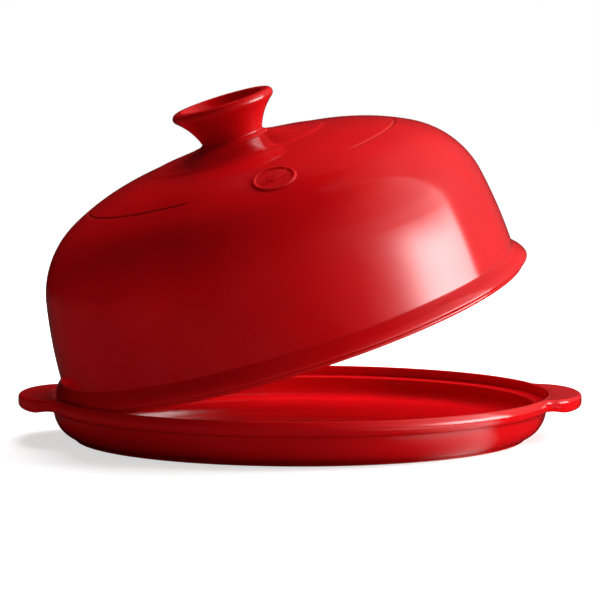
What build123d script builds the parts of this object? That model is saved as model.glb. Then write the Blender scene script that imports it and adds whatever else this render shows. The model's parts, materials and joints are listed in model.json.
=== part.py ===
from build123d import *
from math import asin, atan2, cos, degrees, radians, sin, sqrt, tan
import os

# Bread cloche of glazed stoneware: a low footed dish with two lug handles, and a domed lid
# with a flared knob, tipped open on the rim of the dish as it is held to look inside.
# Millimetres, +Z up. The origin is under the middle of the dish, on what it stands on.

# Dish
RIM_RADIUS = 145.6           # outside of the rim band, where the dish is widest
RIM_BAND = 8.8               # height of the rim band
RIM_WALL = 3.7               # thickness of the rim band round the seat
RIM_EDGE = 2.3               # thickness of the rounded crest
RIM_OVERHANG = 4.6           # of the band, beyond the wall under it
WALL_RISE = 15.6             # height of the curved wall, from the foot line to the band
DISH_WALL = 7.5              # thickness of the wall
DISH_FLOOR = 6.9             # thickness of the floor
WELL_ROUND = 8.8             # inner corner of the well
FOOT_INSET = 11.5            # outer edge of the foot ring, in from the outside of the wall
FOOT_WIDTH = 8.0             # of the foot ring, which stands bare of glaze
FOOT_RECESS = 1.5            # hollow under the dish, inside the foot ring
FOOT_LINE = 1.6              # height of the line turned between the foot and the wall
SEAT_DEPTH = 5.9             # from the crest down to the ledge that the lid stands on
SEAT_CLEARANCE = 1.0         # round the lid, inside the rim
GLAZE = 0.2                  # coat between the ledge and the lid's lower edge
LEDGE_ROUND = 1.5            # inner edge of the ledge

# Lug handles of the dish
HANDLE_LENGTH = 15.9         # of a handle, out from the rim band to its tip
HANDLE_WIDTH = 86.0          # across a handle at its root
HANDLE_ROOT = 5.6            # how far in from the outside of the rim band it is widest
HANDLE_THICKNESS = 7.0
HANDLE_DROP = 0.2            # top of a handle below the crest of the rim
HANDLE_BLEND = 9.0           # hollow curve in plan between a handle and the rim
HANDLE_EDGE = 3.2            # rounding of its edges
GRIP_LIP = 1.4               # depth of the finger lip under the tip
GRIP_LIP_WIDTH = 7.0

# Lid
LID_HEIGHT = 117.0           # apex of the crown above the lid's lower edge
LID_WALL = 6.5
FLANGE_WIDTH = 6.4           # from the outside of the wall to the widest part of the flange
FLANGE_HEIGHT = 12.0
LIP_INSET = 3.1              # of the narrow lip, in from the bead above it
LIP_HEIGHT = 3.0             # of the lip, a half round under the bead
BEAD_ROUND = 1.2             # lower edge of the bead
PAD_RADIUS = 51.0            # low step round the knob
PAD_STEP = 0.5
PAD_MARGIN = 9.0             # the straight slope round the knob runs on beyond its step
CROWN_SLOPE = 9.0            # degrees, from level, round the knob
BROW_SLOPE = 27.8            # degrees, where the crown turns into the shoulder
WALL_SLOPE = 78.6            # degrees, where the shoulder turns into the wall
FLANGE_SLOPE = 87.9          # degrees, of the wall at the flange
SHOULDER_RADIUS = 52.7       # of the shoulder arc, in section

# Line cut round the crown, left out where the boss is
LINE_WIDTH = 2.4
LINE_DEPTH = 0.7
LINE_GAP = 60.0              # degrees left uncut, with the boss in the middle
BOSS_AZIMUTH = -79.0         # degrees, of the boss round the lid's axis
BOSS_WIDTH = 25.4            # round the lid
BOSS_LENGTH = 24.6           # down the slope
BOSS_HEIGHT = 0.8

# Knob
NECK_RADIUS = 17.6
KNOB_FLARE = 12.0            # from the neck out to the lip
KNOB_HEIGHT = 23.2           # from the crown at the neck to the top of the lip
COLLAR_WIDTH = 3.0           # foot of the knob on the crown, out from the neck
COLLAR_HEIGHT = 1.8
KNOB_LIP = 5.4               # thickness of the lip
KNOB_WALL = 5.6
KNOB_DEPTH = 12.0            # of the hollow in its top

# How the lid is tipped: it turns on the seat of the dish, at the height of the crest
TIP_ANGLE = 17.8             # degrees open
TIP_AZIMUTH = 17.6           # degrees, direction of the side that is lifted
TIP_INSET = 6.5              # turning edge, in from the seat's wall

# Shares of a piece's own sizes, chosen by eye
band_foot_share = 0.26       # undercut of the rim band, of its overhang
corner_share = 0.9           # most that the well's corner takes of the height under the ledge
shelf_share = 0.4            # place of the flange's upper edge, from the wall to the bead
line_share = 0.72            # place of the line, from the cone down the crown to the shoulder
boss_share = 0.77            # place of the boss's middle on the same way
flare_share = 0.31           # swell of the knob at half the height of its flare, from neck to lip

rim_height = FOOT_LINE + WALL_RISE + RIM_BAND
band_foot = rim_height - RIM_BAND
dish_radius = RIM_RADIUS - RIM_OVERHANG
foot_radius = dish_radius - FOOT_INSET
seat_radius = RIM_RADIUS - RIM_WALL
seat_height = rim_height - SEAT_DEPTH
well_floor = FOOT_RECESS + DISH_FLOOR
handle_reach = RIM_RADIUS + HANDLE_LENGTH
handle_root = RIM_RADIUS - HANDLE_ROOT
bead_radius = seat_radius - SEAT_CLEARANCE
lip_radius = bead_radius - LIP_INSET
lid_wall_radius = bead_radius - FLANGE_WIDTH
cone_radius = PAD_RADIUS + PAD_MARGIN
knob_radius = NECK_RADIUS + KNOB_FLARE
collar_radius = NECK_RADIUS + COLLAR_WIDTH
tip_radius = seat_radius - TIP_INSET


def turned(*edges):
    """Solid turned about the upright axis from the edges of its half section."""
    return revolve(Plane.XZ * make_face(edges), Axis.Z)


def polar(centre, radius, lean):
    """Point at a radius from a centre, in the direction that leans out by some degrees."""
    return (centre[0] + radius * sin(radians(lean)), centre[1] + radius * cos(radians(lean)))


def arc(centre, radius, lean_a, lean_b):
    """Arc round a centre, from one lean to another."""
    middle = (lean_a + lean_b) / 2
    return ThreePointArc(*(polar(centre, radius, lean) for lean in (lean_a, middle, lean_b)))


def cove():
    """Centre and radius of the dish's outer corner, upright where it meets the rim band."""
    inward = dish_radius - foot_radius
    height = band_foot - FOOT_LINE
    radius = (inward ** 2 + height ** 2) / (2 * inward)
    return (dish_radius - radius, band_foot), radius


def rim_outline():
    """Outer edges of the dish's rim, from the wall under the band to the seat inside."""
    undercut = band_foot_share * (RIM_RADIUS - dish_radius)
    edge_round = RIM_EDGE / 2
    wall_top = (dish_radius, band_foot)
    band_low = (RIM_RADIUS - undercut, band_foot + undercut)
    band_high = (seat_radius + RIM_EDGE, rim_height - edge_round)
    crest = (seat_radius + edge_round, rim_height)
    inner = (seat_radius, rim_height - edge_round)
    middle = (RIM_RADIUS, (band_low[1] + band_high[1]) / 2)
    return [
        Line(wall_top, band_low),
        ThreePointArc(band_low, middle, band_high),
        ThreePointArc(band_high, crest, inner),
        Line(inner, (seat_radius, seat_height)),
    ]


def dish_outside():
    """Edges of the foot and the outer wall, from under the middle up to the rim band."""
    centre, radius = cove()
    foot_inner = foot_radius - FOOT_WIDTH
    lean = degrees(atan2(foot_radius - centre[0], FOOT_LINE - centre[1]))
    return [
        Line((0, FOOT_RECESS), (foot_inner - FOOT_RECESS, FOOT_RECESS)),
        Line((foot_inner - FOOT_RECESS, FOOT_RECESS), (foot_inner, 0)),
        Line((foot_inner, 0), (foot_radius - FOOT_LINE / 4, 0)),
        Line((foot_radius - FOOT_LINE / 4, 0), (foot_radius, FOOT_LINE)),
        arc(centre, radius, lean, 90),
    ]


def dish_inside():
    """Edges of the ledge, the well's wall and its floor, from the seat to the middle."""
    edge = dish_radius - DISH_WALL
    ledge_foot = seat_height - LEDGE_ROUND
    corner = min(WELL_ROUND, corner_share * (ledge_foot - well_floor))
    return [
        Line((seat_radius, seat_height), (edge + LEDGE_ROUND, seat_height)),
        arc((edge + LEDGE_ROUND, ledge_foot), LEDGE_ROUND, 0, -90),
        Line((edge, ledge_foot), (edge, well_floor + corner)),
        arc((edge - corner, well_floor + corner), corner, 90, 180),
        Line((edge - corner, well_floor), (0, well_floor)),
        Line((0, well_floor), (0, FOOT_RECESS)),
    ]


def base_dish():
    """The dish, turned in one piece: foot, wall, rim band, ledge and well."""
    return turned(*dish_outside(), *rim_outline(), *dish_inside())


def dish_blank():
    """The dish with its well filled up to the crest, which the handles are cut to fit."""
    fill = [
        Line((seat_radius, seat_height), (0, seat_height)),
        Line((0, seat_height), (0, FOOT_RECESS)),
    ]
    core = Pos(0, 0, rim_height / 2) * Cylinder(seat_radius + RIM_EDGE / 2, rim_height)
    return turned(*dish_outside(), *rim_outline(), *fill) + core


def handle_slab(height):
    """The right handle with sharp edges: a half oval that flows into the rim by hollow curves."""
    oval = Pos(handle_root, 0) * Ellipse(handle_reach - handle_root, HANDLE_WIDTH / 2)
    slab = extrude(Circle(RIM_RADIUS) + oval, height)
    corners = slab.edges().filter_by(Axis.Z).filter_by(lambda e: e.center().X > 0)
    near = Box(handle_reach / 2, HANDLE_WIDTH + HANDLE_BLEND, 2 * height)
    return fillet(corners, HANDLE_BLEND) & Pos(handle_reach, 0, 0) * near


def right_handle():
    """A lug with rounded edges and a finger lip under its tip, cut to the rim it is luted to."""
    height = HANDLE_THICKNESS + GRIP_LIP
    foot = rim_height - HANDLE_DROP - height
    slab = Pos(0, 0, foot) * handle_slab(height)
    rims = slab.edges().filter_by(is_handle_edge)
    lug = fillet(rims, HANDLE_EDGE)
    reach = handle_reach - handle_root - GRIP_LIP_WIDTH
    hollow = Pos(handle_root, 0, foot) * Ellipse(reach, HANDLE_WIDTH)
    return lug - extrude(hollow, GRIP_LIP) - dish_blank()


def is_handle_edge(edge):
    """True for the level edges of the handle's slab that stand clear of the rim."""
    middle = edge @ 0.5
    level = abs(edge.tangent_at(0).Z) < 0.5
    return level and sqrt(middle.X ** 2 + middle.Y ** 2) > RIM_RADIUS - HANDLE_EDGE / 2


def dome_arcs():
    """Radii of the crown and wall arcs with which the section lands on the flange."""
    s0, s1, s2, s3 = (radians(s) for s in (CROWN_SLOPE, BROW_SLOPE, WALL_SLOPE, FLANGE_SLOPE))
    out = lid_wall_radius - cone_radius - SHOULDER_RADIUS * (sin(s2) - sin(s1))
    down = FLANGE_HEIGHT - cone_height(cone_radius) + PAD_STEP - SHOULDER_RADIUS * (cos(s2) - cos(s1))
    a, b = sin(s1) - sin(s0), sin(s3) - sin(s2)
    c, d = cos(s1) - cos(s0), cos(s3) - cos(s2)
    whole = a * d - b * c
    return (out * d - b * down) / whole, (a * down - out * c) / whole


def cone_height(radius):
    """Height of the straight slope round the knob, carried on past its step."""
    return LID_HEIGHT - radius * tan(radians(CROWN_SLOPE))


def dome_skin(inset):
    """Edges of the dome below its cone, moved in from the outside by inset."""
    crown, wall = dome_arcs()
    start = (cone_radius, cone_height(cone_radius) - PAD_STEP)
    slopes = (CROWN_SLOPE, BROW_SLOPE, WALL_SLOPE, FLANGE_SLOPE)
    edges = []
    for radius, slope_a, slope_b in zip((crown, SHOULDER_RADIUS, wall), slopes, slopes[1:]):
        centre = polar(start, -radius, slope_a)
        edges.append(arc(centre, radius - inset, slope_a, slope_b))
        start = polar(centre, radius, slope_b)
    return edges


def skin_point(share, inset=0):
    """Point of the crown arc at a share of its turn, and its slope in degrees."""
    crown = dome_arcs()[0]
    start = (cone_radius, cone_height(cone_radius) - PAD_STEP)
    centre = polar(start, -crown, CROWN_SLOPE)
    slope = CROWN_SLOPE + share * (BROW_SLOPE - CROWN_SLOPE)
    return polar(centre, crown - inset, slope), slope


def dome_top(inset):
    """Edges of the cone round the knob, with its low step on the outside only."""
    foot = polar((cone_radius, cone_height(cone_radius) - PAD_STEP), -inset, CROWN_SLOPE)
    if inset:
        return [Line((0, foot[1] + foot[0] * tan(radians(CROWN_SLOPE))), foot)]
    edge = (PAD_RADIUS, cone_height(PAD_RADIUS))
    step = (PAD_RADIUS + PAD_STEP, cone_height(PAD_RADIUS + PAD_STEP) - PAD_STEP)
    return [Line((0, LID_HEIGHT), edge), Line(edge, step), Line(step, foot)]


def flange_outline(wall_foot):
    """Edges of the flange from the wall down over the bead, the groove and the lip."""
    shelf = lid_wall_radius + shelf_share * (bead_radius - lid_wall_radius)
    shelf_height = FLANGE_HEIGHT - (shelf - lid_wall_radius)
    bead_low = LIP_HEIGHT + BEAD_ROUND
    middle = ((shelf + bead_radius) / 2 + BEAD_ROUND / 2, (shelf_height + bead_low) / 2)
    lip_middle = lip_radius - LIP_HEIGHT / 2
    return [
        Line(wall_foot, (shelf, shelf_height)),
        ThreePointArc((shelf, shelf_height), middle, (bead_radius, bead_low)),
        arc((bead_radius - BEAD_ROUND, bead_low), BEAD_ROUND, 90, 180),
        Line((bead_radius - BEAD_ROUND, LIP_HEIGHT), (lip_middle, LIP_HEIGHT)),
        arc((lip_middle, LIP_HEIGHT / 2), LIP_HEIGHT / 2, 0, 180),
    ]


def crown_line():
    """Cutter of the line round the crown: a turned bar, open where the boss is."""
    bar = (LINE_WIDTH ** 2 / 4 + LINE_DEPTH ** 2) / (2 * LINE_DEPTH)
    middle = skin_point(line_share, LINE_DEPTH - bar)[0]
    section = Plane.XZ * (Pos(*middle) * Circle(bar))
    start = BOSS_AZIMUTH + LINE_GAP / 2
    return Rot(0, 0, start) * revolve(section, Axis.Z, 360 - LINE_GAP)


def boss():
    """Plain oval boss that follows the crown, in the gap of the line."""
    middle, slope = skin_point(boss_share)
    column = extrude(Ellipse(BOSS_LENGTH / 2, BOSS_WIDTH / 2), BOSS_HEIGHT + LID_WALL / 2, both=True)
    column = Pos(middle[0], 0, middle[1]) * Rot(0, slope, 0) * column
    return Rot(0, 0, BOSS_AZIMUTH) * column & dome_solid(-BOSS_HEIGHT)


def dome_solid(inset):
    """The dome filled from its skin to the level of the flange."""
    top = dome_top(inset)
    skin = dome_skin(inset)
    wall_foot = skin[-1] @ 1
    crown = (0, (top[0] @ 0).Y)
    closing = [Line(wall_foot, (0, wall_foot.Y)), Line((0, wall_foot.Y), crown)]
    return turned(*top, *skin, *closing)


def cloche_dome():
    """The lid: flange, wall, shoulder and crown in one turned shell, with line and boss."""
    outside = dome_skin(0)
    inside = dome_skin(LID_WALL)
    wall_foot = outside[-1] @ 1
    inner_foot = inside[-1] @ 1
    lip_foot = (lip_radius - LIP_HEIGHT / 2, 0)
    inner_edge = (inner_foot.X, 0)
    inner_top = dome_top(LID_WALL)
    axis = Line((0, (inner_top[0] @ 0).Y), (0, LID_HEIGHT))
    foot = [Line(lip_foot, inner_edge), Line(inner_edge, inner_foot)]
    flange = flange_outline(wall_foot)
    shell = turned(*dome_top(0), *outside, *flange, *foot, *inside, *inner_top, axis)
    return shell + boss() - crown_line()


def knob():
    """Flared knob with a rounded lip and a hollow top, seated on the cone of the crown."""
    neck_foot = cone_height(NECK_RADIUS)
    top = neck_foot + KNOB_HEIGHT
    lip_low = top - KNOB_LIP
    collar = (collar_radius, cone_height(collar_radius))
    collar_top = (NECK_RADIUS, neck_foot + COLLAR_HEIGHT)
    flare = (NECK_RADIUS + flare_share * (knob_radius - NECK_RADIUS), (lip_low + collar_top[1]) / 2)
    lip_under = (knob_radius - KNOB_LIP / 4, lip_low)
    lip_top = (knob_radius - KNOB_LIP / 2, top)
    hollow = knob_radius - KNOB_WALL
    bowl = (hollow ** 2 + KNOB_DEPTH ** 2) / (2 * KNOB_DEPTH)
    bowl_centre = (0, top - KNOB_DEPTH + bowl)
    bowl_lean = 180 - degrees(asin(hollow / bowl))
    edges = [
        Line((0, LID_HEIGHT), collar),
        Line(collar, collar_top),
        ThreePointArc(collar_top, flare, lip_under),
        ThreePointArc(lip_under, (knob_radius, top - KNOB_LIP / 2), lip_top),
        Line(lip_top, (hollow, top)),
        arc(bowl_centre, bowl, bowl_lean, 180),
        Line((0, top - KNOB_DEPTH), (0, LID_HEIGHT)),
    ]
    return turned(*edges)


def tipped(piece):
    """A piece of the lid, from the lid's own place to where the tipped lid holds it."""
    azimuth = radians(TIP_AZIMUTH)
    edge = (-tip_radius * cos(azimuth), -tip_radius * sin(azimuth), rim_height)
    turning_edge = Axis(edge, (sin(azimuth), -cos(azimuth), 0))
    return (Pos(0, 0, seat_height + GLAZE) * piece).rotate(turning_edge, TIP_ANGLE)


def main():
    """Writes each piece of the cloche to its own file."""
    lug = right_handle()
    pieces = {
        "base_dish": base_dish(),
        "right_handle": lug,
        "left_handle": Rot(0, 0, 180) * lug,
        "cloche_dome": tipped(cloche_dome()),
        "knob": tipped(knob()),
    }
    os.makedirs("parts", exist_ok=True)
    for name, piece in pieces.items():
        export_step(piece, f"parts/{name}.step")


main()
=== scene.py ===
import bpy
import json
import numpy as np
from math import acos, atan2, cos, degrees, pi, radians, sin, sqrt, tan
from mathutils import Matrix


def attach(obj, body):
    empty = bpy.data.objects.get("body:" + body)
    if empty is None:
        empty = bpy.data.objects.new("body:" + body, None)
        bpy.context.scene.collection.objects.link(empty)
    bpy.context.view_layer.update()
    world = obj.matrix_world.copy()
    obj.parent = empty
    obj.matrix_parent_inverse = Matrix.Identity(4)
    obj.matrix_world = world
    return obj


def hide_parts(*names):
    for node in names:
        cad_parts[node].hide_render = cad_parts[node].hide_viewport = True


# Bread cloche of red glazed stoneware, lid tipped open on the rim of its dish.
# Metres, +Z up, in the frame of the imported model.
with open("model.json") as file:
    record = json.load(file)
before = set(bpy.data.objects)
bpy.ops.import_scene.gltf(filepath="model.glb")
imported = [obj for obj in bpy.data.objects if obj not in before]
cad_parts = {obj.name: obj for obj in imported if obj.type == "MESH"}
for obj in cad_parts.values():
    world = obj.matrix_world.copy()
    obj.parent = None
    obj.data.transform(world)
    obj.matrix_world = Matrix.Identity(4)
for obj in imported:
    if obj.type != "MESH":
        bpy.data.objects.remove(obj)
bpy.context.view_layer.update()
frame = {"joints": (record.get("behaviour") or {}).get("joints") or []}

# The dish. Turned in one piece from stoneware clay: foot ring, curved wall, rim band with a rounded
# crest, the ledge that the lid stands on, and the well. It is dipped in glaze, which rounds its
# edges and fills its hollows; only the flat of the foot ring is wiped bare before firing.
rim_radius = 0.1456
rim_height = 0.026
rim_band = 0.0088
rim_wall = 0.0037
rim_edge = 0.0023
rim_overhang = 0.0046
band_undercut = 0.0012
dish_wall = 0.0075
well_floor = 0.0084
well_round = 0.0088
foot_inset = 0.0115
foot_width = 0.008
foot_recess = 0.0015
foot_line = 0.0016
seat_depth = 0.0059
ledge_round = 0.0015
dish_softening = 0.00055       # how far the wet glaze evens out an edge

seat_radius = rim_radius - rim_wall
seat_height = rim_height - seat_depth
band_foot = rim_height - rim_band
dish_radius = rim_radius - rim_overhang
foot_radius = dish_radius - foot_inset

fine_step = 0.0001             # between the points of an outline while the glaze is worked out
columns = 372                  # round a turned piece
largest_turn = radians(7)      # between two rows of a turned piece
longest_step = 0.0062
outline_points = 80            # of one arc of an outline


def lean_arc(centre, radius, lean_a, lean_b):
    """Arc in a half section: centre + radius * (sin lean, cos lean), from one lean to another."""
    lean = np.radians(np.linspace(lean_a, lean_b, outline_points))
    return np.stack([centre[0] + radius * np.sin(lean), centre[1] + radius * np.cos(lean)], -1)


def arc_through(a, b, c):
    """Arc from a to c by way of b: the circle whose centre is as far from all three."""
    a, b, c = (np.array(p, float) for p in (a, b, c))
    chords = 2 * np.array([b - a, c - a])
    centre = np.linalg.solve(chords, [b @ b - a @ a, c @ c - a @ a])
    turns = np.unwrap([atan2(*(p - centre)[::-1]) for p in (a, b, c)])
    turn = np.linspace(turns[0], turns[2], outline_points)
    radius = np.linalg.norm(a - centre)
    return np.stack([centre[0] + radius * np.cos(turn), centre[1] + radius * np.sin(turn)], -1)


def along(points):
    """Distance along a line of points, from its first point to each."""
    steps = np.linalg.norm(np.diff(points, axis=0), axis=1)
    return np.concatenate([[0], np.cumsum(steps)])


def at_distance(points, where):
    """Points at given distances along a line of points."""
    way = along(points)
    return np.stack([np.interp(where, way, column) for column in points.T], -1)


def glazed(stretches, softening):
    """Outline of the glaze over a raw outline of clay: each point is the average of the raw outline
    on both sides of it, weighted by a bell curve as wide as the softening. Also gives the coat, in
    softenings: above zero where the glaze fills a hollow, below where it draws thin off an edge."""
    raw = np.concatenate(stretches)
    way = along(raw)
    even = at_distance(raw, np.arange(0, way[-1], fine_step))
    reach = int(4 * softening / fine_step)
    bell = np.exp(-0.5 * (np.arange(-reach, reach + 1) * fine_step / softening) ** 2)
    bell /= bell.sum()
    before = even[0] * 2 - even[reach:0:-1]
    after = even[-1] * 2 - even[-2:-reach - 2:-1]
    padded = np.concatenate([before, even, after])
    soft = np.stack([np.convolve(column, bell, "valid") for column in padded.T], -1)
    way_on = np.gradient(soft, axis=0)
    way_on /= np.linalg.norm(way_on, axis=1, keepdims=True)
    outwards = np.stack([way_on[:, 1], -way_on[:, 0]], -1)
    coat = np.sum((soft - even) * outwards, axis=1) / softening
    soft[[0, -1], 0] = 0
    return soft, coat


def crowded(where, density):
    """Places that divide a density's running total into equal shares, so they crowd where it is high."""
    total = np.concatenate([[0], np.cumsum((density[1:] + density[:-1]) / 2 * np.diff(where))])
    count = int(np.ceil(total[-1]))
    return np.interp(np.linspace(0, total[-1], count + 1), total, where)


def row_places(outline, extra=0):
    """Distances along an outline of a turned piece's rows: one for each longest step, and one for
    each largest turn of its direction."""
    way = along(outline)
    heading = np.unwrap(np.arctan2(*np.gradient(outline, axis=0).T[::-1]))
    bend = np.abs(np.gradient(heading, way))
    return crowded(way, 1 / longest_step + bend / largest_turn + extra)


def set_in_rows(outline, coat, extra=0):
    """Outline and coat at the distances of a turned piece's rows, with both ends on the axis."""
    rows = row_places(outline, extra)
    coat = np.interp(rows, along(outline), coat)
    outline = at_distance(outline, rows)
    outline[[0, -1], 0] = 0
    return rows, outline, coat


def turned(outline, azimuths):
    """Surface of revolution: (r cos a, r sin a, z) for each point (r, z) and azimuth a."""
    r, z = outline[:, 0, None], outline[:, 1, None]
    return np.stack([r * np.cos(azimuths), r * np.sin(azimuths), z + 0 * azimuths], -1)


def turned_faces(rows, cols):
    """Faces of a turned surface with a pole at each end: a fan, rings of quads and a fan. Vertex 0
    is the first pole, the rings follow, and the last vertex is the other pole."""
    ring = np.arange(cols)
    following = (ring + 1) % cols
    low = 1 + cols * np.arange(rows - 3)[:, None]
    high = low + cols
    quads = np.stack([low + ring, low + following, high + following, high + ring], -1).reshape(-1, 4)
    last_ring = 1 + cols * (rows - 3)
    first = np.stack([0 * ring, 1 + following, 1 + ring], -1)
    last = np.stack([last_ring + ring, last_ring + following, 0 * ring + last_ring + cols], -1)
    return first.tolist() + quads.tolist() + last.tolist()


def piece_of(name, vertices, faces, coat):
    """Mesh object at the origin with smooth faces and its coat of glaze as an attribute."""
    mesh = bpy.data.meshes.new(name)
    mesh.from_pydata(vertices.tolist(), [], faces)
    mesh.polygons.foreach_set("use_smooth", [True] * len(mesh.polygons))
    mesh.attributes.new("coat", "FLOAT", "POINT").data.foreach_set("value", coat.astype(np.float32))
    mesh.update()
    piece = bpy.data.objects.new(name, mesh)
    bpy.context.scene.collection.objects.link(piece)
    return piece


def turned_piece(name, grid, coat):
    """Piece from a turned grid whose first and last rows lie on the axis."""
    vertices = np.concatenate([grid[0, :1], grid[1:-1].reshape(-1, 3), grid[-1, :1]])
    coats = np.concatenate([coat[0, :1], coat[1:-1].ravel(), coat[-1, :1]])
    return piece_of(name, vertices, turned_faces(*grid.shape[:2]), coats)


def dish_outline():
    """Raw outline of the dish, from the middle of its underside to the middle of its well."""
    inward, rise = dish_radius - foot_radius, band_foot - foot_line
    wall_arc = (inward ** 2 + rise ** 2) / (2 * inward)
    wall_centre = (dish_radius - wall_arc, band_foot)
    wall_lean = degrees(atan2(foot_radius - wall_centre[0], foot_line - wall_centre[1]))
    foot_inner = foot_radius - foot_width
    edge_round = rim_edge / 2
    band_low = (rim_radius - band_undercut, band_foot + band_undercut)
    band_high = (seat_radius + rim_edge, rim_height - edge_round)
    band_middle = (rim_radius, (band_low[1] + band_high[1]) / 2)
    well_edge = dish_radius - dish_wall
    return [
        np.array([(0, foot_recess), (foot_inner - foot_recess, foot_recess), (foot_inner, 0),
                  (foot_radius - foot_line / 4, 0), (foot_radius, foot_line)]),
        lean_arc(wall_centre, wall_arc, wall_lean, 90),
        arc_through(band_low, band_middle, band_high),
        lean_arc((seat_radius + edge_round, rim_height - edge_round), edge_round, 90, -90),
        np.array([(seat_radius, seat_height), (well_edge + ledge_round, seat_height)]),
        lean_arc((well_edge + ledge_round, seat_height - ledge_round), ledge_round, 0, -90),
        lean_arc((well_edge - well_round, well_floor + well_round), well_round, 90, 180),
        np.array([(0, well_floor)]),
    ]


# The glaze and the clay under it, shared by every piece
glaze_red = (0.60, 0.0035, 0.006, 1)
glaze_pooled = (0.44, 0.0015, 0.003, 1)
glaze_thin = (0.64, 0.015, 0.012, 1)
clay_colour = (0.46, 0.30, 0.20, 1)
clay_shadow = (0.33, 0.20, 0.13, 1)
glaze_roughness = (0.045, 0.10)
glaze_ior = 1.5
cloud_size = 0.045             # of the patches of deeper colour
cloud_range = (0.35, 0.65, 0, 0.35)    # noise from, to; share of the pooled colour from, to
pool_range = (0.02, 0.30, 0, 0.8)      # coat from, to; share of the pooled colour from, to
thin_range = (-0.05, -0.40, 0, 0.7)    # coat from, to; share of the thin colour from, to
gloss_size = 0.012             # of the patches of finer and coarser gloss
gloss_range = (0.3, 0.7)       # noise between the two roughnesses
ripple_size = 0.021            # of the slow waves in the glaze
ripple_depth = 0.000022
peel_size = 0.0016             # of its fine texture
peel_depth = 0.0000009
bare_height = 0.0004           # the foot ring is wiped bare up to here
bare_wave = 0.006              # length of the waves in the glaze line
bare_wave_height = 0.0005
bare_line = (0.00028, 0.00022)         # below the bare height, from bare to glazed
clay_roughness = 0.85
clay_grain = 0.0012
clay_grain_depth = 0.00008


def link(tree, source, target):
    """Joins the first output of a node, or a given output, to an input."""
    tree.links.new(source.outputs[0] if hasattr(source, "outputs") else source, target)


def noise(tree, place, size, detail):
    """Noise over the piece's own coordinates, with features of about a size in metres."""
    node = tree.nodes.new("ShaderNodeTexNoise")
    node.inputs["Scale"].default_value = 1 / size
    node.inputs["Detail"].default_value = detail
    link(tree, place, node.inputs["Vector"])
    return node


def spread_over(tree, source, low, high, to_low, to_high):
    """Map Range node: values from low to high become values from to_low to to_high."""
    node = tree.nodes.new("ShaderNodeMapRange")
    for name, value in (("From Min", low), ("From Max", high), ("To Min", to_low), ("To Max", to_high)):
        node.inputs[name].default_value = value
    link(tree, source, node.inputs["Value"])
    return node


def mixed_colour(tree, share, colour_a, colour_b):
    """Mix node between two colours or the outputs of two nodes."""
    node = tree.nodes.new("ShaderNodeMix")
    node.data_type = "RGBA"
    link(tree, share, node.inputs["Factor"])
    for name, colour in (("A", colour_a), ("B", colour_b)):
        socket = next(s for s in node.inputs if s.name == name and s.type == "RGBA")
        if isinstance(colour, tuple):
            socket.default_value = colour
        else:
            link(tree, colour, socket)
    return next(s for s in node.outputs if s.type == "RGBA")


def bumped(tree, height, distance, under=None):
    """Bump node that raises the surface by a height, over another bump if one is given."""
    node = tree.nodes.new("ShaderNodeBump")
    node.inputs["Distance"].default_value = distance
    link(tree, height, node.inputs["Height"])
    if under:
        link(tree, under, node.inputs["Normal"])
    return node


def red_glaze(name):
    """Glossy red glaze: a little deeper where it pools, a little lighter where it is thin, with
    slow ripples, a fine peel and uneven gloss."""
    material = bpy.data.materials.new(name)
    material.use_nodes = True
    tree = material.node_tree
    shader = next(n for n in tree.nodes if n.type == "BSDF_PRINCIPLED")
    place = tree.nodes.new("ShaderNodeTexCoord").outputs["Object"]
    coat = tree.nodes.new("ShaderNodeAttribute")
    coat.attribute_name = "coat"
    depth = coat.outputs["Fac"]
    cloud = noise(tree, place, cloud_size, 3)
    body = mixed_colour(tree, spread_over(tree, cloud, *cloud_range), glaze_red, glaze_pooled)
    pooled = mixed_colour(tree, spread_over(tree, depth, *pool_range), body, glaze_pooled)
    colour = mixed_colour(tree, spread_over(tree, depth, *thin_range), pooled, glaze_thin)
    link(tree, colour, shader.inputs["Base Color"])
    gloss = noise(tree, place, gloss_size, 2)
    link(tree, spread_over(tree, gloss, *gloss_range, *glaze_roughness), shader.inputs["Roughness"])
    ripple = bumped(tree, noise(tree, place, ripple_size, 1), ripple_depth)
    link(tree, bumped(tree, noise(tree, place, peel_size, 2), peel_depth, ripple), shader.inputs["Normal"])
    shader.inputs["IOR"].default_value = glaze_ior
    return material


def with_bare_foot(material):
    """The glaze as on the dish, with matt clay on the flat of the foot ring, up to a wavy line."""
    tree = material.node_tree
    shader = next(n for n in tree.nodes if n.type == "BSDF_PRINCIPLED")
    output = next(n for n in tree.nodes if n.type == "OUTPUT_MATERIAL")
    place = tree.nodes.new("ShaderNodeTexCoord").outputs["Object"]
    clay = tree.nodes.new("ShaderNodeBsdfPrincipled")
    clay.inputs["Roughness"].default_value = clay_roughness
    grain = noise(tree, place, clay_grain, 4)
    link(tree, mixed_colour(tree, grain, clay_colour, clay_shadow), clay.inputs["Base Color"])
    link(tree, bumped(tree, grain, clay_grain_depth), clay.inputs["Normal"])
    height = tree.nodes.new("ShaderNodeSeparateXYZ")
    link(tree, place, height.inputs[0])
    line = tree.nodes.new("ShaderNodeMath")
    line.operation = "MULTIPLY_ADD"
    link(tree, noise(tree, place, bare_wave, 2), line.inputs[0])
    line.inputs[1].default_value = -bare_wave_height
    link(tree, height.outputs["Z"], line.inputs[2])
    bare = spread_over(tree, line, *(bare_height - below for below in bare_line), 1, 0)
    both = tree.nodes.new("ShaderNodeMixShader")
    link(tree, bare, both.inputs[0])
    link(tree, shader, both.inputs[1])
    link(tree, clay, both.inputs[2])
    link(tree, both, output.inputs["Surface"])
    return material


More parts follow.
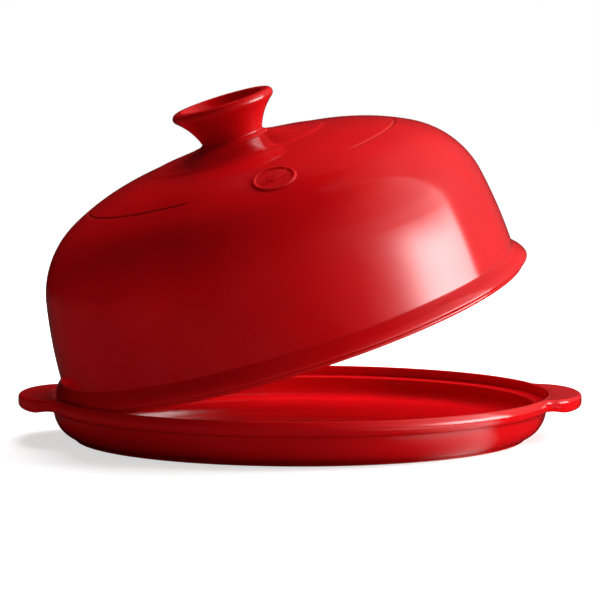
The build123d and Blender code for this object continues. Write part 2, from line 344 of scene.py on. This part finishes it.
even_azimuths = np.linspace(0, 2 * pi, columns, endpoint=False)
rows, outline, coat = set_in_rows(*glazed(dish_outline(), dish_softening))
dish = turned_piece("glazed_dish", turned(outline, even_azimuths), coat[:, None] + 0 * even_azimuths)
dish.data.materials.append(with_bare_foot(red_glaze("red_glaze_dish")))
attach(dish, "base")
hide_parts("base_dish")


# The two lug handles. Each is pressed from clay and luted to the rim while it is damp, so that its
# top runs into the crest and its sides run into the rim band by hollow curves. A low lip under the
# tip gives the fingers a hold.
lug_reach = 0.1614
lug_half_width = 0.043
lug_root = 0.140
lug_blend = 0.009
lug_top = 0.0258
lug_bottom = 0.0188
lug_top_edge = 0.0022
lug_bottom_edge = 0.0034
lug_lip = 0.0013
lug_lip_width = 0.0075
lug_tuck = 0.0004              # how far the hollow curves run under the skin of the rim band
lug_crest_side = 0.0004         # from the middle of the crest to where the lug's top starts
lug_crest_dip = 0.0003         # the top starts this much lower, and is level after about the fade
lug_crest_fade = 0.0004
lug_wall_tuck = 0.0006         # how far the underside starts inside the dish's wall
lug_wall_dip = 0.0022          # the underside starts this much lower
lug_wall_fade = 0.0011
lug_lip_start = (0.002, 0.009)         # beyond the rim, where the finger lip begins and is full
lug_oval_points = 4001
lug_hollow_points = 400
lug_edge_points = 1500
lug_columns = 220
lug_rows = 44
lug_face_rows = 5


def smooth_step(value, low, high):
    """Rises from 0 at low to 1 at high as 3 t squared less 2 t cubed."""
    t = np.clip((value - low) / (high - low), 0, 1)
    return t * t * (3 - 2 * t)


def lug_plan():
    """Free edge of the right lug, from front to back: a half oval with a hollow arc at each side.
    An arc's centre is as far from the oval as from the rim, so it lies where the oval, moved out
    by the arc's radius, crosses the rim moved out by it too."""
    rim = rim_radius - lug_tuck
    turn = np.linspace(0, pi / 2, lug_oval_points)
    half = np.array([lug_reach - lug_root, lug_half_width])
    oval = np.stack([np.cos(turn), np.sin(turn)], -1) * half + [lug_root, 0]
    outwards = np.stack([np.cos(turn), np.sin(turn)], -1) / half
    outwards /= np.linalg.norm(outwards, axis=1, keepdims=True)
    moved = oval + lug_blend * outwards
    beyond = np.hypot(*moved.T) - rim - lug_blend
    meeting = int(np.argmax(beyond < 0))
    centre = moved[meeting]
    start = atan2(*(oval[meeting] - centre)[::-1])
    end = atan2(-centre[1], -centre[0])
    bow = np.linspace(start, end - 2 * pi if end > start else end, lug_hollow_points)
    hollow = centre + lug_blend * np.stack([np.cos(bow), np.sin(bow)], -1)
    back = np.concatenate([oval[:meeting], hollow])
    return np.concatenate([back[:0:-1] * [1, -1], back])


def lug_surface():
    """Loops round the lug, one for each point of its edge. A loop lies in the upright plane through
    the axis of the dish: from the rim out over the top, down the face and back under. Top and
    underside round off with the distance to the edge, each by a quarter circle."""
    edge = lug_plan()
    edge = at_distance(edge, np.linspace(0, along(edge)[-1], lug_columns))
    dense = at_distance(edge, np.linspace(0, along(edge)[-1], lug_edge_points))
    azimuth = np.arctan2(edge[:, 1], edge[:, 0])
    reach = np.hypot(edge[:, 0], edge[:, 1])
    share = 1 - (1 - np.linspace(0, 1, lug_rows)) ** 2

    def sheet(inner):
        r = inner + share * (reach[:, None] - inner)
        place = np.stack([r * np.cos(azimuth[:, None]), r * np.sin(azimuth[:, None])], -1)
        gap = np.min(np.linalg.norm(place[:, :, None] - dense[None, None], axis=-1), axis=-1)
        gap[:, -1] = 0
        return r, gap

    def rounding(gap, radius):
        inside = np.clip(radius - gap, 0, radius)
        return radius - np.sqrt(radius ** 2 - inside ** 2)

    crest_side = seat_radius + rim_edge / 2 + lug_crest_side
    r, gap = sheet(crest_side)
    dip = lug_crest_dip * np.exp(-(r - crest_side) / lug_crest_fade)
    top = lug_top - dip - rounding(gap, lug_top_edge)
    upper = np.stack([r, top], -1)
    under_side = dish_radius - lug_wall_tuck
    r, gap = sheet(under_side)
    lip = lug_lip * (1 - smooth_step(gap, lug_lip_width / 2, lug_lip_width))
    lip = lip * smooth_step(r, *(rim_radius + start for start in lug_lip_start))
    low = lug_bottom - lip - lug_wall_dip * np.exp(-(r - under_side) / lug_wall_fade)
    under = np.stack([r, low + rounding(gap, lug_bottom_edge)], -1)
    down = np.linspace(0, 1, lug_face_rows + 2)[1:-1, None]
    face = upper[:, -1:] * (1 - down) + under[:, -1:] * down
    loop = np.concatenate([upper, face, under[:, ::-1]], axis=1)
    r, z = loop[..., 0], loop[..., 1]
    return np.stack([r * np.cos(azimuth[:, None]), r * np.sin(azimuth[:, None]), z], -1)


def tube_faces(loops, count):
    """Faces of a row of closed loops, with a strip of quads across each end."""
    ring = np.arange(count)
    following = (ring + 1) % count
    base = count * np.arange(loops - 1)[:, None]
    quads = np.stack([base + ring, base + count + ring, base + count + following, base + following], -1)
    half = np.arange(count // 2 - 1)
    other = count - 1 - half
    cap = np.stack([half, half + 1, other - 1, other], -1)
    far_cap = cap[:, ::-1] + count * (loops - 1)
    return quads.reshape(-1, 4).tolist() + cap.tolist() + far_cap.tolist()


lug_grid = lug_surface()
lug_faces = tube_faces(*lug_grid.shape[:2])
lug_glaze = red_glaze("red_glaze_lugs")
for side, name in ((1, "right"), (-1, "left")):
    vertices = lug_grid.reshape(-1, 3) * [side, side, 1]
    lug = piece_of(f"{name}_lug", vertices, lug_faces, np.zeros(len(vertices)))
    lug.data.materials.append(lug_glaze)
    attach(lug, "base")
    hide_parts(f"{name}_handle")


# The dome of the lid. One turned shell: a narrow lip that stands in the dish, a groove and a wide
# bead above it, then wall, shoulder and crown in three arcs that flow into each other. A fine line is
# cut round the crown before firing, and an oval boss with an ear of wheat is pressed on in its gap.
lid_height = 0.117
lid_wall = 0.0065
seat_clearance = 0.001
flange_width = 0.0064
flange_height = 0.012
lip_inset = 0.0031
lip_height = 0.003
bead_round = 0.0012
shelf_share = 0.4
pad_radius = 0.051
pad_step = 0.0005
pad_edge = (-0.0007, 0.0009)   # where the step begins and ends, from its radius
pad_margin = 0.009
knob_ring_radius = 0.027       # faint swell round the foot of the knob
knob_ring_step = 0.0003
knob_ring_edge = 0.0012
cone_points = 600
crown_slope = 9.0              # degrees from level
brow_slope = 27.8
wall_slope = 78.6
flange_slope = 87.9
shoulder_arc = 0.0527
lid_softening = 0.0005
glaze_under_lid = 0.0002
line_share = 0.72
line_half_width = 0.00125
line_depth = 0.0006
line_gap = 60                  # degrees
line_taper = 4                 # degrees over which the line runs out
boss_azimuth = -78.2             # degrees
boss_share = 0.72
boss_half_round = 0.0127
boss_half_down = 0.0123
boss_height = 0.0009
boss_step = 0.00036            # between the rows and columns of the mesh on the boss
boss_margin = 1.06             # how far the fine mesh goes, in half sizes of the boss
line_margin = 1.3              # and in half widths of the line
boss_border = (0.90, 1.0)      # where the border falls off, in half sizes of the boss
boss_field = (0.76, 0.86)      # where the field rises to the border
boss_field_share = 0.35        # height of the field inside the boss's border, of the border's
ear_length = 0.018
ear_turn = 28                  # degrees from level
grain_length = 0.0045
grain_width = 0.0022
grain_splay = 33
ear_grains = 5
ear_start = 0.12               # first pair of grains below the middle, in ear lengths
ear_spread = 0.62              # from the first pair to past the last, in ear lengths
ear_tip = 0.60
ear_scale = 1.05
grain_offset = 0.62            # from the stalk to the middle of a grain, in grain widths
stalk_half_width = 0.00042
stalk_share = 0.7
dome_columns = 300
wide_points = 7201             # round the dome while its columns are worked out
wear_step = 0.0002             # bend of the relief, from row to row, that wears the glaze thin
wear_limit = 0.3

bead_radius = seat_radius - seat_clearance
lid_wall_radius = bead_radius - flange_width
lip_radius = bead_radius - lip_inset
cone_radius = pad_radius + pad_margin


def cone_height(radius):
    """Height of the straight slope round the knob."""
    return lid_height - radius * tan(radians(crown_slope))


def dome_arcs():
    """Radii of the crown and wall arcs: with the shoulder arc given, they add up to the way out and
    down from the cone to the flange."""
    s0, s1, s2, s3 = (radians(s) for s in (crown_slope, brow_slope, wall_slope, flange_slope))
    out = lid_wall_radius - cone_radius - shoulder_arc * (sin(s2) - sin(s1))
    down = flange_height - cone_height(cone_radius) + pad_step - shoulder_arc * (cos(s2) - cos(s1))
    ways = [[sin(s1) - sin(s0), sin(s3) - sin(s2)], [cos(s1) - cos(s0), cos(s3) - cos(s2)]]
    return np.linalg.solve(ways, [out, down])


def dome_skin(inset):
    """Crown, shoulder and wall arcs from the cone down to the flange, moved in by an inset."""
    crown, wall = dome_arcs()
    start = np.array([cone_radius, cone_height(cone_radius) - pad_step])
    slopes = (crown_slope, brow_slope, wall_slope, flange_slope)
    arcs = []
    for radius, slope_a, slope_b in zip((crown, shoulder_arc, wall), slopes, slopes[1:]):
        lean_a, lean_b = radians(slope_a), radians(slope_b)
        centre = start - radius * np.array([sin(lean_a), cos(lean_a)])
        arcs.append(lean_arc(centre, radius - inset, slope_a, slope_b))
        start = centre + radius * np.array([sin(lean_b), cos(lean_b)])
    return np.concatenate(arcs)


def stepped_cone():
    """Straight slope from the cone's edge up to the apex, with two soft steps round the knob."""
    r = np.linspace(cone_radius, 0, cone_points)
    drop = pad_step * smooth_step(r, *(pad_radius + edge for edge in pad_edge))
    past_ring = smooth_step(r, knob_ring_radius - knob_ring_edge, knob_ring_radius + knob_ring_edge)
    return np.stack([r, cone_height(r) - drop + knob_ring_step * (1 - past_ring)], -1)


def flange_outline():
    """Flange from the lid's lower edge up: lip, groove, bead and shelf."""
    shelf = lid_wall_radius + shelf_share * flange_width
    shelf_height = flange_height - (shelf - lid_wall_radius)
    bead_low = lip_height + bead_round
    middle = ((shelf + bead_radius) / 2 + bead_round / 2, (shelf_height + bead_low) / 2)
    lip_round = lip_height / 2
    return [
        lean_arc((lip_radius - lip_round, lip_round), lip_round, 180, 0),
        lean_arc((bead_radius - bead_round, bead_low), bead_round, 180, 90),
        arc_through((bead_radius, bead_low), middle, (shelf, shelf_height)),
    ]


def dome_outline():
    """Raw outline of the dome, from the middle of its inside to its apex."""
    inside = dome_skin(lid_wall)
    bore = inside[-1, 0]
    return [
        np.array([(0, inside[0, 1] + inside[0, 0] * tan(radians(crown_slope)))]),
        inside,
        np.array([(bore, bead_round), (bore + bead_round, 0)]),
        *flange_outline(),
        dome_skin(0)[::-1],
        stepped_cone(),
    ]


def grain(across, up, middle, lean):
    """Height share of one grain of wheat: a dome on an ellipse, highest along its middle."""
    turn = radians(lean)
    lengthwise = (across - middle[0]) * cos(turn) + (up - middle[1]) * sin(turn)
    sideways = (up - middle[1]) * cos(turn) - (across - middle[0]) * sin(turn)
    radius = (lengthwise / grain_length * 2) ** 2 + (sideways / grain_width * 2) ** 2
    return np.sqrt(np.clip(1 - radius, 0, 1))


def wheat_ear(across, up):
    """Height share of an ear of wheat: pairs of grains that splay off a thin stalk, and one at its tip."""
    turn = radians(ear_turn)
    way = np.array([cos(turn), sin(turn)])
    side = np.array([-way[1], way[0]])
    height = np.zeros_like(across)
    for i in range(ear_grains):
        middle = way * ear_length * (i / ear_grains * ear_spread - ear_start)
        for hand in (-1, 1):
            place = middle + side * hand * grain_width * grain_offset
            height = np.maximum(height, grain(across, up, place, ear_turn + hand * grain_splay))
    tip = way * ear_length * ear_tip
    height = np.maximum(height, grain(across, up, tip, ear_turn))
    distance = across * side[0] + up * side[1]
    position = across * way[0] + up * way[1]
    stalk = np.exp(-(distance / stalk_half_width) ** 2) * stalk_share
    stalk *= np.abs(position) < ear_length / 2
    return np.maximum(height, stalk)


def boss_relief(across, up):
    """Height of the boss over the crown: a rounded border round a lower field with an ear of wheat."""
    oval = np.sqrt((across / boss_half_round) ** 2 + (up / boss_half_down) ** 2)
    border = 1 - smooth_step(oval, *boss_border)
    field = 1 - smooth_step(oval, *boss_field)
    level = border - (1 - boss_field_share) * field
    ear = wheat_ear(across * ear_scale, up * ear_scale) * (1 - boss_field_share)
    return boss_height * (level + ear * field)


def line_relief(off_line, azimuths):
    """Depth of the line cut round the crown: a cosine hollow that runs out at both ends of its gap."""
    hollow = 0.5 + 0.5 * np.cos(pi * np.clip(np.abs(off_line) / line_half_width, 0, 1))
    from_boss = np.abs((np.degrees(azimuths) - boss_azimuth + 180) % 360 - 180)
    return -line_depth * hollow * smooth_step(from_boss, line_gap / 2, line_gap / 2 + line_taper)


def placed_on_seat(points):
    """Points of the lid, from its own place to where it rests: stood on the ledge and then turned
    about the hinge's axis, from the closed end of its range."""
    hinge = next(j for j in frame["joints"] if j["name"] == "cloche_tip")
    pivot, axis = np.array(hinge["pos_m"]), np.array(hinge["axis"], float)
    axis /= np.linalg.norm(axis)
    turn = radians(-hinge["range_deg"][0])
    offset = points + [0, 0, seat_height + glaze_under_lid] - pivot
    along_axis = (offset @ axis)[..., None] * axis
    return pivot + offset * cos(turn) + np.cross(axis, offset) * sin(turn) + along_axis * (1 - cos(turn))


outline, coat = glazed(dome_outline(), lid_softening)
way = along(outline)
crown_arc = dome_arcs()[0]
crown_turn = radians(brow_slope - crown_slope)
cone_edge = way[-1] - cone_radius / cos(radians(crown_slope))
line_place = cone_edge - crown_arc * crown_turn * line_share
boss_place = cone_edge - crown_arc * crown_turn * boss_share
on_boss = np.abs(way - boss_place) < boss_half_down * boss_margin
on_line = np.abs(way - line_place) < line_half_width * line_margin
wide = np.linspace(0, 2 * pi, wide_points)
boss_radius = np.interp(boss_place, way, outline[:, 0])
round_boss = np.abs((np.degrees(wide) - boss_azimuth + 180) % 360 - 180) * pi / 180 * boss_radius
near_boss = round_boss < boss_half_round * boss_margin
azimuths = crowded(wide, dome_columns / (2 * pi) + np.where(near_boss, boss_radius / boss_step, 0))[:-1]
rows, outline, coat = set_in_rows(outline, coat, np.where(on_boss | on_line, 1 / boss_step, 0))

heading = np.gradient(outline, rows, axis=0)
heading /= np.linalg.norm(heading, axis=1, keepdims=True)
across = ((azimuths - radians(boss_azimuth) + pi) % (2 * pi) - pi) * boss_radius
relief = boss_relief(across[None, :] + 0 * rows[:, None], (rows - boss_place)[:, None] + 0 * azimuths)
relief *= np.abs(across) < 2 * boss_half_round
relief += line_relief((rows - line_place)[:, None], azimuths)
grid = turned(outline, azimuths)
outwards = turned(np.stack([heading[:, 1], -heading[:, 0]], -1), azimuths)
grid = placed_on_seat(grid + relief[..., None] * outwards)
edge_wear = np.gradient(np.gradient(relief, axis=0), axis=0)
coats = coat[:, None] + np.clip(edge_wear / wear_step, -wear_limit, wear_limit)
dome = turned_piece("glazed_dome", grid, coats)
dome.data.materials.append(red_glaze("red_glaze_dome"))
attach(dome, "cloche")
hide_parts("cloche_dome")


# The knob. Turned by itself and luted on the crown before glazing: a narrow neck on a small collar,
# flared out to a thick rounded lip, with a dished top that takes the fingertips.
neck_radius = 0.0176
knob_flare = 0.012
knob_height = 0.0232
collar_width = 0.003
collar_height = 0.0018
knob_lip = 0.0054
knob_wall = 0.0056
knob_depth = 0.012
flare_share = 0.31
knob_softening = 0.0005
knob_columns = 240


def knob_outline():
    """Raw outline of the knob, from inside the crown to the middle of its hollow."""
    top = cone_height(neck_radius) + knob_height
    knob_radius = neck_radius + knob_flare
    collar_radius = neck_radius + collar_width
    collar_top = (neck_radius, cone_height(neck_radius) + collar_height)
    low = top - knob_lip
    flare = (neck_radius + flare_share * knob_flare, (low + collar_top[1]) / 2)
    under = (knob_radius - knob_lip / 4, low)
    hollow = knob_radius - knob_wall
    bowl = (hollow ** 2 + knob_depth ** 2) / (2 * knob_depth)
    bowl_lean = 180 - degrees(acos(sqrt(bowl ** 2 - hollow ** 2) / bowl))
    collar_foot = cone_height(collar_radius)
    sunk = collar_foot - knob_lip / 4
    return [
        np.array([(0, sunk), (collar_radius, sunk), (collar_radius, collar_foot + pad_step)]),
        arc_through(collar_top, flare, under),
        arc_through(under, (knob_radius, top - knob_lip / 2), (knob_radius - knob_lip / 2, top)),
        lean_arc((0, top - knob_depth + bowl), bowl, bowl_lean, 180),
    ]


rows, outline, coat = set_in_rows(*glazed(knob_outline(), knob_softening))
azimuths = np.linspace(0, 2 * pi, knob_columns, endpoint=False)
knob = turned_piece("glazed_knob", placed_on_seat(turned(outline, azimuths)), coat[:, None] + 0 * azimuths)
knob.data.materials.append(red_glaze("red_glaze_knob"))
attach(knob, "cloche")
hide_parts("knob")


# The table and the studio. A pale floor with two patches of painted light beside the dish: one glows to
# light
#  the glaze from below, one glows only in the glaze's mirror, a painted reflection. A dark tent that only
#  the glaze mirrors, with a painted reflection of one soft box low on the right and its glow round it, and
#  four soft lamps.
floor_half = 6.0
floor_colour = (0.60, 0.60, 0.60, 1)
# painted dark reflection: the floor as the glaze mirrors it is almost black
floor_mirrored = (0.012, 0.012, 0.012, 1)
floor_painted_reflection = 2.0              # painted reflection: glowing patch that only the glaze mirrors, right in front of the dish
floor_shine_across = (0.06, 0.15)
floor_shine_deep = (-0.075, -0.10)
floor_painted_bounce = 0.9             # painted light: glowing patch that lights the glaze from below, on the right
floor_bounce_across = (0.02, 0.15)
floor_patch_end = (0.36, 0.22)
floor_glow = (0.25, 1.2, 0.62, 1.0)    # distance from, to; glow for the camera from, to
floor_roughness = 0.9


def emission(tree, strength):
    """Emission node whose strength is the output of another node."""
    node = tree.nodes.new("ShaderNodeEmission")
    link(tree, strength, node.inputs["Strength"])
    return node


def combined(tree, operation, first, *others):
    """Chain of Math nodes over two or more outputs or numbers."""
    for other in others:
        node = tree.nodes.new("ShaderNodeMath")
        node.operation = operation
        link(tree, first, node.inputs[0])
        if isinstance(other, (int, float)):
            node.inputs[1].default_value = other
        else:
            link(tree, other, node.inputs[1])
        first = node
    return first


def seen_by(tree, *rays):
    """Light Path output that is 1 for any of the named kinds of ray."""
    path = tree.nodes.new("ShaderNodeLightPath")
    return combined(tree, "MAXIMUM", *(path.outputs[ray] for ray in rays))


def profile(tree, value, points):
    """Smooth curve through points (value, share), from the first point's value to the last's."""
    low, high = points[0][0], points[-1][0]
    node = tree.nodes.new("ShaderNodeFloatCurve")
    curve = node.mapping.curves[0]
    places = [((x - low) / (high - low), share) for x, share in points]
    curve.points[0].location, curve.points[1].location = places[0], places[-1]
    for x, share in places[1:-1]:
        curve.points.new(x, share)
    for point in curve.points:
        point.handle_type = "AUTO_CLAMPED"
    node.mapping.update()
    link(tree, spread_over(tree, value, low, high, 0, 1), node.inputs["Value"])
    return node


def node_material(name):
    """Material without a shader yet, with its node tree and its output node."""
    material = bpy.data.materials.new(name)
    material.use_nodes = True
    tree = material.node_tree
    tree.nodes.remove(next(n for n in tree.nodes if n.type == "BSDF_PRINCIPLED"))
    return material, tree, next(n for n in tree.nodes if n.type == "OUTPUT_MATERIAL")


def plain_mesh(name, vertices, faces, material):
    """Stage mesh at the origin with one material."""
    mesh = bpy.data.meshes.new(name)
    mesh.from_pydata([tuple(v) for v in vertices], [], faces)
    mesh.materials.append(material)
    thing = bpy.data.objects.new(name, mesh)
    bpy.context.scene.collection.objects.link(thing)
    return thing


def floor_material():
    """Pale floor that keeps the shadow. For the camera it also glows a little, so that it meets the
    white background. Beside the dish it holds painted light: a patch that glows for diffuse rays and
    lights the glaze from below, in place of the soft box's light on the floor, and a patch that glows
    only for glossy rays, a painted reflection in the glaze. To glossy rays the rest of the floor is
    painted almost black."""
    material, tree, output = node_material("pale_floor")
    shader = tree.nodes.new("ShaderNodeBsdfPrincipled")
    shader.inputs["Roughness"].default_value = floor_roughness
    shader.inputs["Specular IOR Level"].default_value = 0.0
    # painted dark reflection: to glossy rays the floor is almost black
    mirrored = seen_by(tree, "Is Glossy Ray")
    link(tree, mixed_colour(tree, mirrored, floor_colour, floor_mirrored), shader.inputs["Base Color"])
    place = tree.nodes.new("ShaderNodeTexCoord").outputs["Object"]
    axes = tree.nodes.new("ShaderNodeSeparateXYZ")
    link(tree, place, axes.inputs[0])
    distance = tree.nodes.new("ShaderNodeVectorMath")
    distance.operation = "LENGTH"
    link(tree, place, distance.inputs[0])
    far = distance.outputs["Value"]
    shares = []
    for value, ends in ((axes.outputs["X"], floor_shine_across), (axes.outputs["Y"], floor_shine_deep),
                        (axes.outputs["X"], floor_bounce_across), (far, floor_patch_end)):
        share = spread_over(tree, value, *ends, 0, 1)
        share.interpolation_type = "SMOOTHSTEP"
        shares.append(share)
    across, deep, right, near = shares
    # painted reflection: this patch glows only for glossy rays
    shine = combined(tree, "MULTIPLY", across, deep, near, mirrored, floor_painted_reflection)
    # painted light: this patch glows only for diffuse rays and lights the glaze from below
    bounce = combined(tree, "MULTIPLY", right, near, seen_by(tree, "Is Diffuse Ray"), floor_painted_bounce)
    glow = combined(tree, "MULTIPLY", spread_over(tree, far, *floor_glow), seen_by(tree, "Is Camera Ray"))
    both = tree.nodes.new("ShaderNodeAddShader")
    link(tree, shader, both.inputs[0])
    link(tree, emission(tree, combined(tree, "ADD", glow, shine, bounce)), both.inputs[1])
    link(tree, both, output.inputs["Surface"])
    return material


corners = [(x * floor_half, y * floor_half, 0) for x, y in ((-1, -1), (1, -1), (1, 1), (-1, 1))]
plain_mesh("pale_floor", corners, [(0, 1, 2, 3)], floor_material())

# Painted reflection on the tent of a soft box, its glow and the haze behind it, by direction in degrees: 0
# is right, 90 behind, -90 in front
tent_radius = 3.0
tent_rows = 48
tent_columns = 96
box_light = 12.5
box_round = ((-52, 0), (-44, 0.03), (-37, 0.09), (-30, 0.27), (-22, 0.66), (-14, 0.97), (-7, 1),
             (0, 0.87), (6, 0.73), (11, 0.56), (14, 0.42), (16, 0.16), (18, 0.02), (20, 0))
box_edge = (27, 18.5)                 # degrees up, from dark to bright
glow_light = 3.1
glow_round = ((-92, 0), (-69, 0.035), (-49, 0.14), (-34, 0.31), (-19, 0.52), (-4, 0.75), (8, 0.95),
              (12, 1), (14.5, 0.85), (17, 0.50), (19.5, 0.22), (24, 0.12), (35, 0.06), (50, 0))
glow_up = ((0, 0.50), (12, 0.60), (22, 0.85), (29, 1), (35, 0.86), (39, 0.70), (44, 0.55), (52, 0.44),
           (59, 0.36), (64, 0.24), (69, 0.14), (76, 0.08), (90, 0.05))
haze_light = 0.42
haze_round = ((12, 0), (19, 0.75), (32, 0.90), (44, 0.85), (54, 0.75), (64, 0.55), (80, 0.20), (95, 0.04),
              (125, 0))
haze_up = ((0, 0.40), (15, 0.62), (32, 0.85), (45, 1), (60, 1), (67, 0.80), (75, 0.50), (90, 0.30))


def painted_reflection_material():
    """Painted reflection: the tent glows with the sum of box, glow and haze, seen only in the glaze's
    mirror and lighting nothing. Each is its strength times a share for the direction round the stage
    and one for the direction up."""
    material, tree, output = node_material("tent")
    axes = tree.nodes.new("ShaderNodeSeparateXYZ")
    link(tree, tree.nodes.new("ShaderNodeTexCoord").outputs["Object"], axes.inputs[0])
    turn = combined(tree, "ARCTAN2", axes.outputs["Y"], axes.outputs["X"])
    rise = combined(tree, "DIVIDE", axes.outputs["Z"], tent_radius)
    angles = []
    for operation, value in (("DEGREES", turn), ("ARCSINE", rise)):
        node = tree.nodes.new("ShaderNodeMath")
        node.operation = operation
        link(tree, value, node.inputs[0])
        angles.append(node)
    up = combined(tree, "MULTIPLY", angles[1], degrees(1))
    edge = spread_over(tree, up, *box_edge, 0, 1)
    edge.interpolation_type = "SMOOTHSTEP"
    box = combined(tree, "MULTIPLY", profile(tree, angles[0], box_round), edge, box_light)
    lights = [box]
    for light, around, upwards in ((glow_light, glow_round, glow_up), (haze_light, haze_round, haze_up)):
        shares = (profile(tree, angles[0], around), profile(tree, up, upwards))
        lights.append(combined(tree, "MULTIPLY", *shares, light))
    link(tree, emission(tree, combined(tree, "ADD", *lights)), output.inputs["Surface"])
    return material


def half_sphere(radius, rows, cols):
    """Half sphere round the stage: radius * (sin t cos a, sin t sin a, cos t)."""
    t = np.linspace(0, pi / 2, rows)[:, None]
    a = np.linspace(0, 2 * pi, cols, endpoint=False)
    points = radius * np.stack([np.sin(t) * np.cos(a), np.sin(t) * np.sin(a), np.cos(t) + 0 * a], -1)
    ring = np.arange(cols)
    after = (ring + 1) % cols
    base = cols * np.arange(rows - 1)[:, None]
    quads = np.stack([base + ring, base + after, base + cols + after, base + cols + ring], -1)
    return points.reshape(-1, 3).tolist(), quads.reshape(-1, 4).tolist()


tent = plain_mesh("tent", *half_sphere(tent_radius, tent_rows, tent_columns), painted_reflection_material())
# The tent is seen only by glossy rays: its glow is a painted reflection, not a lamp.
for kind in ("camera", "diffuse", "transmission", "volume_scatter", "shadow"):
    setattr(tent, f"visible_{kind}", False)


def area_light(name, place, target, size, power):
    """Square lamp that looks at a target. The glaze mirrors the tent in its stead."""
    lamp = bpy.data.lights.new(name, "AREA")
    lamp.shape, lamp.size, lamp.energy = "SQUARE", size, power
    thing = bpy.data.objects.new(name, lamp)
    thing.location = place
    aim = np.array(target) - np.array(place)
    thing.rotation_euler = (acos(-aim[2] / np.linalg.norm(aim)), 0, atan2(aim[1], aim[0]) - pi / 2)
    thing.visible_camera = False
    thing.visible_glossy = False
    bpy.context.scene.collection.objects.link(thing)


# Name, place, size and power in watts
lamps = (
    ("key_light", (0.98, 0.0, 0.75), 0.7, 15.5),
    ("side_light", (1.03, -0.42, 0.51), 0.7, 5.2),
    ("front_light", (-0.2, -1.18, 0.16), 0.7, 1.2),
    ("back_light", (0.0, 0.77, 0.98), 0.8, 22),
)
lamp_target = (0, 0, 0.06)
for name, place, size, power in lamps:
    area_light(name, place, lamp_target, size, power)

world_fill = 0.05              # strength of the background as a light
world = bpy.data.worlds.new("white_background")
bpy.context.scene.world = world
world.use_nodes = True
tree = world.node_tree
background = next(n for n in tree.nodes if n.type == "BACKGROUND")
background.inputs["Color"].default_value = (1, 1, 1, 1)
seen = seen_by(tree, "Is Camera Ray", "Is Glossy Ray", "Is Transmission Ray")
link(tree, spread_over(tree, seen, 0, 1, world_fill, 1.0), background.inputs["Strength"])

# Camera of the photograph: 1.8 metres away, 7.3 degrees above level, with a long lens
camera_distance = 1.8
camera_elevation = 7.3         # degrees, as seen from the origin
camera_pitch = 4.81            # degrees below level
lens_pixels = 3130             # focal length in pixels of a picture 600 pixels wide
picture_pixels = 600
camera = bpy.data.cameras.new("camera")
camera.sensor_width = 36
camera.lens = lens_pixels / picture_pixels * camera.sensor_width
camera_object = bpy.data.objects.new("camera", camera)
bpy.context.scene.collection.objects.link(camera_object)
elevation = radians(camera_elevation)
camera_object.location = (0, -camera_distance * cos(elevation), camera_distance * sin(elevation))
camera_object.rotation_euler = (radians(90 - camera_pitch), 0, 0)
bpy.context.scene.camera = camera_object
bpy.context.scene.view_settings.view_transform = "Standard"

bpy.context.view_layer.update()
